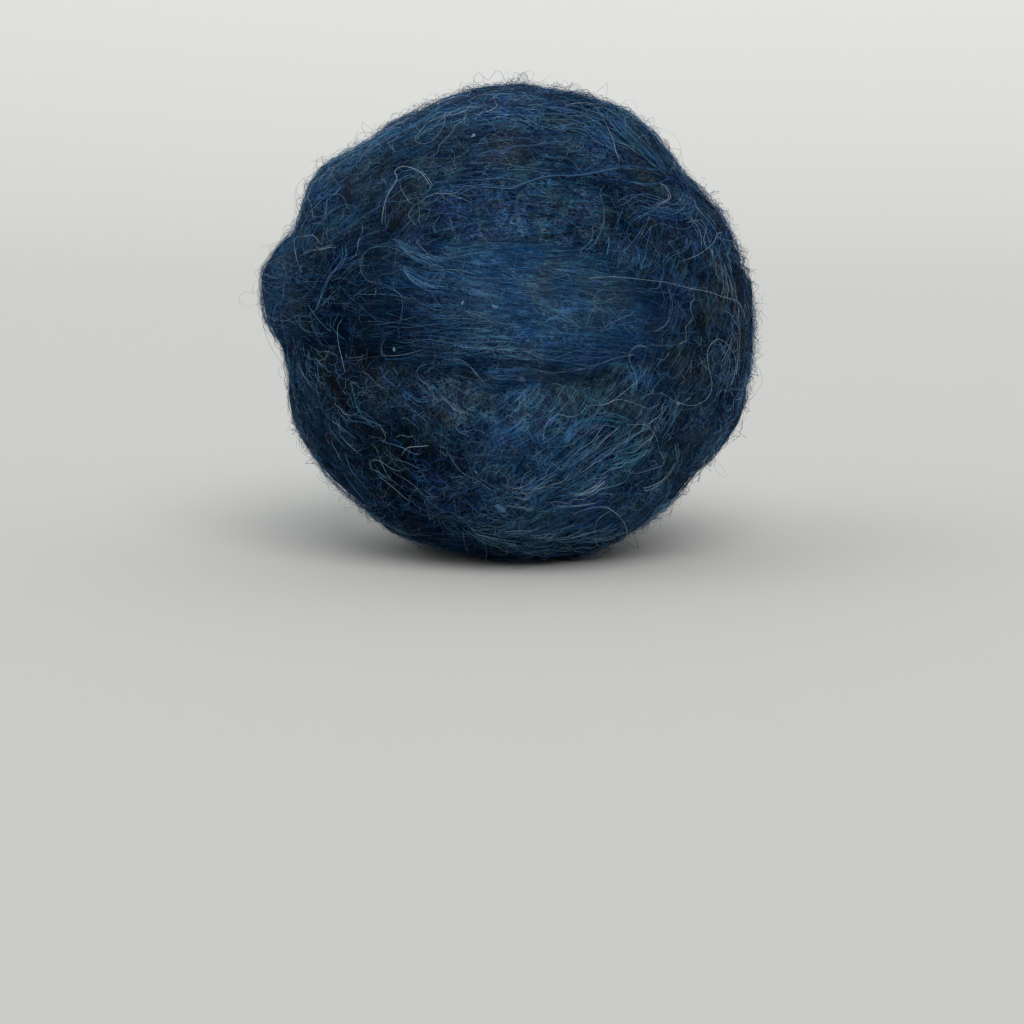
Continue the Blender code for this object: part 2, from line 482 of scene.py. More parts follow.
def wrapMaterial(name, turnedTo):
    # combed streaks: noise on a circle along the wrap, drawn out, and fine across it; tangles:
    # thin lines where a warped noise of the place crosses its middle value
    graph = Graph("wool_" + name)
    look = looks[name]
    u, v = graph.uv()
    angle = u * math.tau
    cells = ball["middleRadius"] / pattern["streakLength"]
    x, y = graph.math("COSINE", angle) * cells, graph.math("SINE", angle) * cells
    width = math.radians(wraps[name]["half"] * 2 * mass["overhang"]) * ball["middleRadius"]
    across = v * (width / mass["topShare"] * 1000)  # millimetres
    place = graph.objectPlace()

    def byTangle(combed, change):
        return combed + change * look["tangled"]

    def ridge(field, sharp):
        return graph.clamp(1 - graph.math("ABSOLUTE", field - 0.5) * sharp)

    def streaks(key, phase):
        cell, sway, sharp, weight = pattern[key]
        aside, scale = pattern["drift"]
        drift = graph.noise(graph.vector(x, y, across * aside + phase), scale, 1.0)
        swayed = (across + drift * byTangle(*sway)) * (1 / byTangle(*cell))
        return ridge(graph.noise(graph.vector(x, y, swayed), 1.0, 2.0), sharp) * byTangle(*weight)

    def tangle(key, shift):
        # the place is pushed about by a coarser noise first, so that the lines curl
        scale, warp, sharp, weight = pattern[key]
        push = graph.noise(place, scale * pattern["push"], output=1)
        bent = graph.vectorMath("MULTIPLY_ADD", push, warp / scale, place)
        bent = graph.vectorMath("ADD", bent, shift)
        return ridge(graph.noise(bent, scale, 1.0), sharp) * byTangle(*weight)

    def share(key, field, tint=None):
        slope, start, *weight = pattern[key]
        part = field * slope - start
        return graph.clamp(part + tint * weight[0] if weight else part)

    patch, broad, fluff = (graph.noise(place, *pattern[key]) for key in ("patch", "broad", "fluff"))
    dyed = graph.noise(graph.vectorMath("ADD", place, 3.0), *pattern["dyed"])
    thin = pattern["thinPlaces"]
    fluffy = share("fluffShare", fluff) * (1 - thin) + thin
    lay = graph.clamp(streaks("combed", turnedTo) + streaks("crossing", turnedTo + 15))
    mat = graph.clamp(tangle("fine", turnedTo) + tangle("wide", turnedTo + 3))
    crease, light, brown, royal = (graph.add("Attribute", {"attribute_name": label}, {}, 2)
                                   for label in massLayers)
    hair = graph.mix(share("tealShare", patch), pattern["blue"], pattern["teal"])
    hair = graph.mix(share("violetShare", dyed, royal), hair, pattern["violet"])
    hair = graph.mix(share("taupeShare", patch, brown), hair, pattern["taupe"])
    hair = graph.scale(hair, look["crispness"])
    hairCover = min(pattern["mostHair"], byTangle(*pattern["hairCover"]))
    mid = tuple(look["lightness"] * c for c in pattern["mid"])
    colour = graph.mix(share("midShare", broad), pattern["deep"], mid)
    colour = graph.mix(share("warmShare", patch, brown) * pattern["warmCover"], colour, pattern["warm"])
    colour = graph.mix(lay * fluffy * hairCover, colour, hair)
    colour = graph.mix(mat * fluffy * pattern["matCover"], colour, pattern["grey"])
    # painted shade in the creases between wraps
    colour = graph.mix(crease * pattern["creaseCover"], colour, pattern["deep"])
    # the tints' lightness brightens or darkens the whole mass: partly the wool's tone, partly painted
    # light and painted shade in hollows and creases
    gain, plain, least = pattern["light"]
    colour = graph.scale(colour, graph.math("MAXIMUM", light * gain + plain, least))
    depth, part = pattern["relief"]
    relief = {"Strength": 1.0, "Distance": depth, "Height": graph.clamp(lay * part + mat * part)}
    return graph.finish(colour, pattern["roughness"], pattern["specular"], relief)


def wrapPiece(name):
    # a closed belt: at angle a along and share t across, radius = core + height(a, t), and an
    # under side at a plain radius that closes the section
    wrap, number = wraps[name], wrapNames.index(name)
    pole, start, quarter = wrapAxes(wrap)
    hidden = name.startswith("under")
    steps, over = mass["steps"][hidden], mass["across"][hidden]
    along = np.linspace(-180, 180, steps, endpoint=False)[:, None]
    spread = np.linspace(-1, 1, over)
    crowd = mass["crowding"]
    top = np.sin(spread * np.pi / 2 * crowd) / np.sin(np.pi / 2 * crowd) * mass["overhang"]
    back = np.linspace(1, -1, mass["inner"] + 2)[1:-1] * mass["overhang"] * mass["innerShare"]
    a, t = np.broadcast_arrays(along, np.concatenate([top, back])[None])
    lean = np.radians(wrap["shift"] + t * wrap["half"])[..., None]
    turned = np.radians(a)[..., None]
    around = np.cos(turned) * start + np.sin(turned) * quarter
    directions = np.cos(lean) * around + np.sin(lean) * pole
    radius = ball["coreRadius"] + wrapHeight(name, a, t) + spotHeight(directions)
    radius += mass["rough"] * waves(number, *mass["roughWaves"])(a, t) - mass["below"]
    radius += mass["clump"] * looks[name]["tangled"] * clumpAt(directions)
    radius[:, over:] = mass["innerRadius"]
    points = onFloor(centre + directions * radius[..., None])
    i, j, faces = gridFaces(*a.shape)
    height = np.linspace(0, mass["topShare"], over)
    height = np.concatenate([height, np.linspace(mass["topShare"], 1, mass["inner"] + 2)[1:]])
    uCorner = np.stack([i, i + 1, i + 1, i], -1) / steps
    vCorner = np.stack([height[j], height[j], height[j + 1], height[j + 1]], -1)
    uv = np.stack([uCorner, vCorner], -1).reshape(-1, 2)
    piece = addMesh(pieceName("wrap", name), points.reshape(-1, 3), faces, uv,
                    wrapMaterial(name, number * mass["apart"]))
    # painted crease shade, and the tints, whose lightness is partly painted light and shade
    for label, values in zip(massLayers, (creaseAt(directions, number), *tintAt(directions))):
        layer = piece.data.attributes.new(label, "FLOAT", "POINT")
        layer.data.foreach_set("value", values.astype(np.float32).ravel())
    keepPiece(piece)


for wrapName in wrapNames:
    wrapPiece(wrapName)
print("wraps laid")

# fibres

# linear colours of the dyed fibres; each one has its own row in the material's map
shades = {
    "ink": (0.0005, 0.006, 0.023),
    "navy": (0.003, 0.019, 0.054),
    "deepBlue": (0.012, 0.045, 0.115),
    "royal": (0.018, 0.082, 0.270),
    "denim": (0.033, 0.110, 0.220),
    "steel": (0.085, 0.180, 0.300),
    "teal": (0.020, 0.160, 0.250),
    "petrol": (0.010, 0.055, 0.085),
    "violet": (0.038, 0.052, 0.200),
    "plum": (0.035, 0.012, 0.050),
    "umber": (0.040, 0.022, 0.014),
    "olive": (0.050, 0.052, 0.034),
    "slate": (0.105, 0.140, 0.175),
    "sky": (0.150, 0.340, 0.570),
    "silver": (0.260, 0.410, 0.530),
    "pale": (0.420, 0.560, 0.670),
}
shadeNames = list(shades)
thinner = dict(steel=0.85, teal=0.85, slate=0.8, sky=0.72, silver=0.68, pale=0.6)
shadeRadius = np.array([thinner.get(shade, 1.0) for shade in shadeNames])

# how much of each shade a mix holds, in the order of the shades
mixes = {
    "dark": (36, 28, 12, 3, 5, 3, 1.5, 6, 3, 3, 6, 1.5, 2, 1, 0.6, 0.1),
    "blue": (10, 18, 18, 13, 14, 10, 5, 6, 4, 1, 2, 1, 3, 4, 1.5, 0.3),
    "bright": (3, 6, 10, 16, 18, 22, 9, 4, 4, 0.5, 1, 1, 5, 12, 5, 0.8),
    "silvery": (5, 8, 9, 6, 13, 24, 6, 4, 1, 1, 2, 2, 12, 13, 11, 2.5),
    "brown": (24, 18, 8, 3, 5, 4, 1, 5, 3, 4, 14, 7, 8, 2, 3, 0.6),
}

# fibre kinds: points, length, its spread, heading spread and wave in degrees, wave length,
# curl in radians per metre, lift, tuck of the ends and radius, in metres, and the share of them
# that lies over all the wraps and not on its own
kinds = table("points length vary spread wave period curl lift tuck radius over", {
    "sleek": (6, 0.015, 0.45, 10, 12, 0.012, 20, 0.00010, 0.00035, 0.000038, 0.25),
    "crimped": (8, 0.0066, 0.5, 40, 36, 0.0054, 150, 0.00024, 0.00035, 0.000035, 0.65),
    "frizzy": (7, 0.0042, 0.5, 90, 28, 0.0038, 520, 0.00040, 0.00030, 0.000031, 0.9),
    "curly": (11, 0.0088, 0.5, 80, 30, 0.005, 340, 0.00050, 0.00035, 0.000031, 1.0),
    "stray": (13, 0.016, 0.5, 28, 38, 0.0065, 120, 0.00045, 0.00040, 0.000035, 1.0),
})

# for each wrap: shares of the kinds, how unruly their headings are, and weights of the colour
# mixes dark, blue, bright, silvery and brown
habits = table("shares unruly mixes", {
    **dict.fromkeys(wrapNames[:2], ((0.16, 0.40, 0.28, 0.12, 0.04), 1.5, (4, 4, 1.5, 1, 2))),
    "underRight": ((0.16, 0.40, 0.28, 0.12, 0.04), 1.5, (4, 3, 1, 1, 3)),
    "base": ((0.30, 0.43, 0.19, 0.04, 0.04), 1.2, (5, 2.5, 1.4, 2.6, 1.5)),
    "leftFlank": ((0.25, 0.42, 0.24, 0.05, 0.04), 1.3, (6, 2.5, 1.1, 2.2, 2.5)),
    "lowerFront": ((0.34, 0.38, 0.16, 0.07, 0.05), 1.1, (3, 4, 2, 4, 1)),
    "rightSide": ((0.04, 0.34, 0.40, 0.19, 0.03), 2.4, (4, 2.5, 1.2, 2, 4)),
    "brow": ((0.34, 0.38, 0.16, 0.08, 0.04), 1.1, (4, 4, 2, 1, 1)),
    "crest": ((0.36, 0.36, 0.14, 0.09, 0.05), 1.1, (3, 4, 2.5, 2, 1)),
    "middle": ((0.72, 0.20, 0.04, 0.02, 0.02), 0.9, (2.0, 5, 3, 2, 0.5)),
})

coat = {
    "tries": 28500,  # places drawn all over the ball
    "seed": 11,
    "thick": (0.5, 0.19, 0.38),  # share of them kept: plain, more for a clump, least
    "bottom": -0.95,  # none lies lower, in heights of a direction
    "floorGap": 0.00002,
    "deepest": -0.00034,  # how far a fibre lies under or over its wrap's surface
    "highest": 0.00022,
    "mingle": 0.00035,  # how far the fibres of one wrap stray on to the next
    "frizz": (4, 0.8, 0.12, 0.3),  # the most, and how it curls, shortens and spreads the fibres
    "lockLean": 0.8,  # how much neighbours lean the same way
    "lockWaves": (24, 18.0, 0.12),
    "periods": (0.7, 1.4),  # ranges round the kind's own wave length, wave and radius
    "swings": (0.3, 1.3),
    "radii": (0.6, 1.35),
    "ripple": (0.5, 5),  # of a fibre's lift: size, and rate along it
}
# what moves the choice of a mix, for dark, blue, bright, silvery and brown
leanings = {
    "light": (-1.0, 0.1, 0.8, 0.8, -0.5),
    "brown": (0.3, -1.2, -1.0, 0.4, 1.6),
    "lighter": (0.4, 1.2, 1.1, -1.2),  # for frizz, height over the rest, a clump and a crease; the last three are painted shade, darker for deep fibres, hollows and creases
    "patches": 1.25,
    "patchWaves": (24, 10.0, 0.10),
    "royal": 1.2,  # for the shades royal and violet
}
fuzz = {
    "tries": 11200,
    "share": (0.42, 0.45),  # of them kept, and more by frizz
    "bottom": -0.93,
    "points": 6,
    "length": 0.0037,
    "lengths": (0.4, 1.7),  # ranges of the length and the radius
    "radius": 0.000022,
    "radii": (0.6, 1.3),
    "near": 0.00045,  # how far most hairs rise
    "far": 0.0011,  # and the rest
    "farShare": 0.3,
    "frizzRaises": 0.15,
    "highest": 0.0020,
    "steepest": 0.45,  # height over length, at most
    "freeShare": 0.25,
    "climb": 1.5,  # of a free hair, in heights
    "rooted": 0.00015,
    "bend": 2.3,
    "wave": (0.5, 7, 6),  # size, rate along the hair, and the range of its phase
    "heights": (2.0, 0.5),  # shape and scale of the draw
}


# a fibre's material: painted shade at its ends, painted glints and shade along it, and its gain, roughness
# and specular
fibreLookAndShade = {
    "ends": (4, 0.6, 0.18),  # painted shade at both ends: how short the dark ends are, what the middle gains, and the least
    "ripple": (23.0, 310.0, 0.42),  # painted glints and shade along the fibre: rate along it, shift between fibres, and depth
    "gain": 1.4,
    "roughness": 0.55,
    "specular": 0.012,
}


def fibreMaterial():
    # the row of the map picks the fibre's colour; along the fibre a painted shade darkens both ends, and
    # painted glints and shade come in ripples
    graph = Graph("woolFibre")
    u, v = graph.uv()
    stops = [(k / len(shades), shades[name]) for k, name in enumerate(shadeNames)]
    shade = graph.add("ValToRGB", {"stops": ("CONSTANT", stops)}, {0: v})
    short, gained, least = fibreLookAndShade["ends"]
    rate, shift, depth = fibreLookAndShade["ripple"]
    # painted shade at the tucked ends, and painted glints and shade in ripples along the fibre, both
    # toward ink
    middle = 1 - (u * 2 - 1) ** short
    ripple = graph.math("SINE", u * rate + v * shift) * depth
    colour = graph.mix(graph.clamp(middle * gained + least + ripple), shades["ink"], shade)
    return graph.finish(graph.scale(colour, fibreLookAndShade["gain"]), fibreLookAndShade["roughness"], fibreLookAndShade["specular"])


# the stretch of the material's length that a fibre uses: all of it, with the painted shade at the ends, or
# a part that stays light
fading = (0.02, 0.98)
even = (0.30, 0.52)


def tubes(paths, radii):
    # three-sided tubes: point + r * (cos k * outward + sin k * sideways), k = 0, 120, 240, and r
    # tapers at both ends to a third
    points = paths.shape[1]
    tangent = unitRows(np.gradient(paths, axis=1))
    outward = paths - centre
    outward = unitRows(outward - tangent * (outward * tangent).sum(-1, keepdims=True))
    sideways = np.cross(tangent, outward)
    along = np.linspace(0, 1, points)
    taper = np.sqrt(np.clip(1 - (2 * along - 1) ** 6, 0.12, 1))
    r = (radii[:, None] * taper)[..., None]
    rings = [paths + r * (math.cos(k) * outward + math.sin(k) * sideways)
             for k in (0, math.tau / 3, math.tau * 2 / 3)]
    return np.stack(rings, 2).reshape(-1, 3)


def tubeFaces(count, points):
    # triangles of the tubes' sides and end caps, and for each corner its share of the length and
    # of the way round
    i, k = np.meshgrid(np.arange(points - 1), np.arange(3), indexing="ij")
    i, k = i.ravel(), k.ravel()
    after = (k + 1) % 3
    a, b, c, d = i * 3 + k, i * 3 + after, (i + 1) * 3 + after, (i + 1) * 3 + k
    sides = np.concatenate([np.stack([a, b, c], 1), np.stack([a, c, d], 1)])
    last = (points - 1) * 3
    caps = np.array([[0, 2, 1], [last, last + 1, last + 2]])
    one = np.concatenate([sides, caps])
    faces = (np.arange(count) * points * 3)[:, None, None] + one
    return faces, (one // 3) / (points - 1), (one % 3) / 3


def fibrePiece(name, groups, material):
    # one joined mesh of groups, each with its paths, radii, shade numbers and stretch of the map
    points, faces, uvs, start = [], [], [], 0
    for paths, radii, shade, ends in groups:
        count, steps = paths.shape[:2]
        corners, along, ring = tubeFaces(count, steps)
        rounded = tubes(paths, radii * shadeRadius[shade])
        points.append(onFloor(rounded, coat["floorGap"]))
        faces.append((corners + start).reshape(-1, 3))
        u = np.broadcast_to(ends[0] + (ends[1] - ends[0]) * along, corners.shape)
        v = (shade[:, None, None] + 0.3 + 0.4 * ring) / len(shades)  # inside the shade's row
        uvs.append(np.stack([u, np.broadcast_to(v, corners.shape)], -1).reshape(-1, 2))
        start += count * steps * 3
    keepPiece(addMesh(name, *map(np.concatenate, (points, faces, uvs)), material))


def layFibres(name, kind, middles, depth, rng):
    # each fibre starts from its middle and runs both ways along the wrap; heading = lock lean
    # + own lean + wave + curl, and height = the surface + its depth + lift, both ends tucked in
    wrap = wraps[name]
    count, steps = len(middles), kind["points"]
    pole, start, quarter = wrapAxes(wrap)
    along0, across0 = wrapPlace(wrap, middles)
    lat0 = np.radians(across0 * wrap["half"] + wrap["shift"])
    lean = waves(wrapNames.index(name) + 50, *coat["lockWaves"])(along0, across0)
    frizz = tintAt(middles)[3]
    most, _, shortens, spreads = coat["frizz"]
    length = kind["length"] * (1 + kind["vary"] * rng.uniform(-1, 1, count))
    length /= 1 + shortens * np.clip(frizz, 0, most)
    s = (np.arange(steps - 1) + 0.5) / (steps - 1) - 0.5
    s = s[None] * length[:, None]
    spread = kind["spread"] * (habits[name]["unruly"] + spreads * frizz)
    heading = np.radians(spread) * (rng.normal(size=count) + coat["lockLean"] * lean)
    flip = rng.integers(0, 2, count) * np.pi
    period = kind["period"] * rng.uniform(*coat["periods"], count)
    wave = np.radians(kind["wave"]) * rng.uniform(*coat["swings"], count)
    phase = rng.uniform(0, math.tau, count)
    turnRate = kind["curl"] * rng.normal(size=count)
    h = (heading + flip)[:, None] + turnRate[:, None] * s
    h += wave[:, None] * np.sin(math.tau * s / period[:, None] + phase[:, None])
    step = (length / (steps - 1))[:, None] / ball["middleRadius"]

    def summed(rate):
        whole = np.concatenate([np.zeros((count, 1)), np.cumsum(rate, 1)], 1)
        return whole - whole[:, steps // 2:steps // 2 + 1]

    lat = lat0[:, None] + summed(np.sin(h) * step)
    turn = np.radians(along0)[:, None] + summed(np.cos(h) * step) / np.cos(lat0)[:, None]
    lat, turn = lat[..., None], turn[..., None]
    directions = np.cos(lat) * (np.cos(turn) * start + np.sin(turn) * quarter)
    directions = directions + np.sin(lat) * pole
    along, across = wrapPlace(wrap, directions)
    radius = ball["coreRadius"] + wrapHeight(name, along, across) + spotHeight(directions)
    over = rng.uniform(size=count) < kind["over"]
    radius[over] = ballRadius(directions[over])
    share = np.linspace(-1, 1, steps)
    rise = kind["lift"] * rng.exponential(1.0, count)[:, None] * (1 - share**2)
    size, rate = coat["ripple"]
    rise = rise * (1 + size * np.sin(share * rate + phase[:, None]))
    rise += depth[:, None] - kind["tuck"] * share**6
    radii = kind["radius"] * rng.uniform(*coat["radii"], count)
    return centre + directions * (radius + rise)[..., None], radii * looks[name]["thickness"]


def pickShades(name, middles, depth, rng):
    # a mix from the wrap's habits, swayed by patches, places and depth, then a shade of that mix; deep
    # fibres and those in hollows and creases get darker mixes, a painted shade
    along, across = wrapPlace(wraps[name], middles)
    seeds = wrapNames.index(name) * 7 + np.arange(len(mixes))
    sway = np.stack([waves(seed, *leanings["patchWaves"])(along, across) for seed in seeds], 1)
    light, brown, royal, frizz = tintAt(middles)
    frizzed, raised, clumped, creased = leanings["lighter"]
    # painted shade: deeper fibres and those in hollows between clumps and in creases lean to darker mixes
    light += frizzed * frizz + raised * (depth - depth.mean()) / depth.std()
    light += clumped * looks[name]["tangled"] * clumpAt(middles) + creased * creaseAt(middles)
    chance = np.log(np.array(habits[name]["mixes"], float)) + leanings["patches"] * sway
    chance += rng.gumbel(size=sway.shape)
    chance += light[:, None] * np.array(leanings["light"])
    chance += brown[:, None] * np.array(leanings["brown"])
    held = np.array(list(mixes.values()), float)[chance.argmax(1)]
    chance = np.log(held + 1e-6) + rng.gumbel(size=held.shape)
    chance += royal[:, None] * np.isin(shadeNames, ("royal", "violet")) * leanings["royal"]
    return chance.argmax(1)


def fuzzPaths(middles, rng):
    # a hair that leaves the surface: sideways drift + wave, and a rise that comes back down or,
    # for the free ones, keeps climbing; no hair is higher than a part of its own length
    count, steps = len(middles), fuzz["points"]
    side = unitRows(np.cross(middles, rng.normal(size=(count, 3))))
    other = np.cross(middles, side)
    share = np.linspace(0, 1, steps)[None]
    length = fuzz["length"] * rng.uniform(*fuzz["lengths"], count)[:, None]
    bend = rng.normal(size=(count, 1)) * fuzz["bend"]
    size, rate, latest = fuzz["wave"]
    angle = bend * share + size * np.sin(share * rate + rng.uniform(0, latest, (count, 1)))
    stepLength = length / (steps - 1)
    x = np.cumsum(np.cos(angle) * stepLength, 1) - length * 0.5
    y = np.cumsum(np.sin(angle) * stepLength, 1)
    tall = rng.uniform(size=(count, 1)) < fuzz["farShare"]
    height = np.where(tall, fuzz["far"], fuzz["near"]) * rng.gamma(*fuzz["heights"], (count, 1))
    height = height * (1 + fuzz["frizzRaises"] * tintAt(middles)[3][:, None])
    height = np.minimum(np.minimum(height, fuzz["highest"]), fuzz["steepest"] * length)
    free = rng.uniform(size=(count, 1)) < fuzz["freeShare"]
    arch = np.sin(np.pi * share) * height
    climb = share**1.5 * height * fuzz["climb"]
    rise = np.where(free, climb, arch) - fuzz["rooted"] * (1 - share) ** 3
    drift = x[..., None] * side[:, None] + y[..., None] * other[:, None]
    directions = unitRows(middles[:, None] + drift / ball["middleRadius"])
    radii = fuzz["radius"] * rng.uniform(*fuzz["radii"], count)
    return overBall(directions, rise), radii


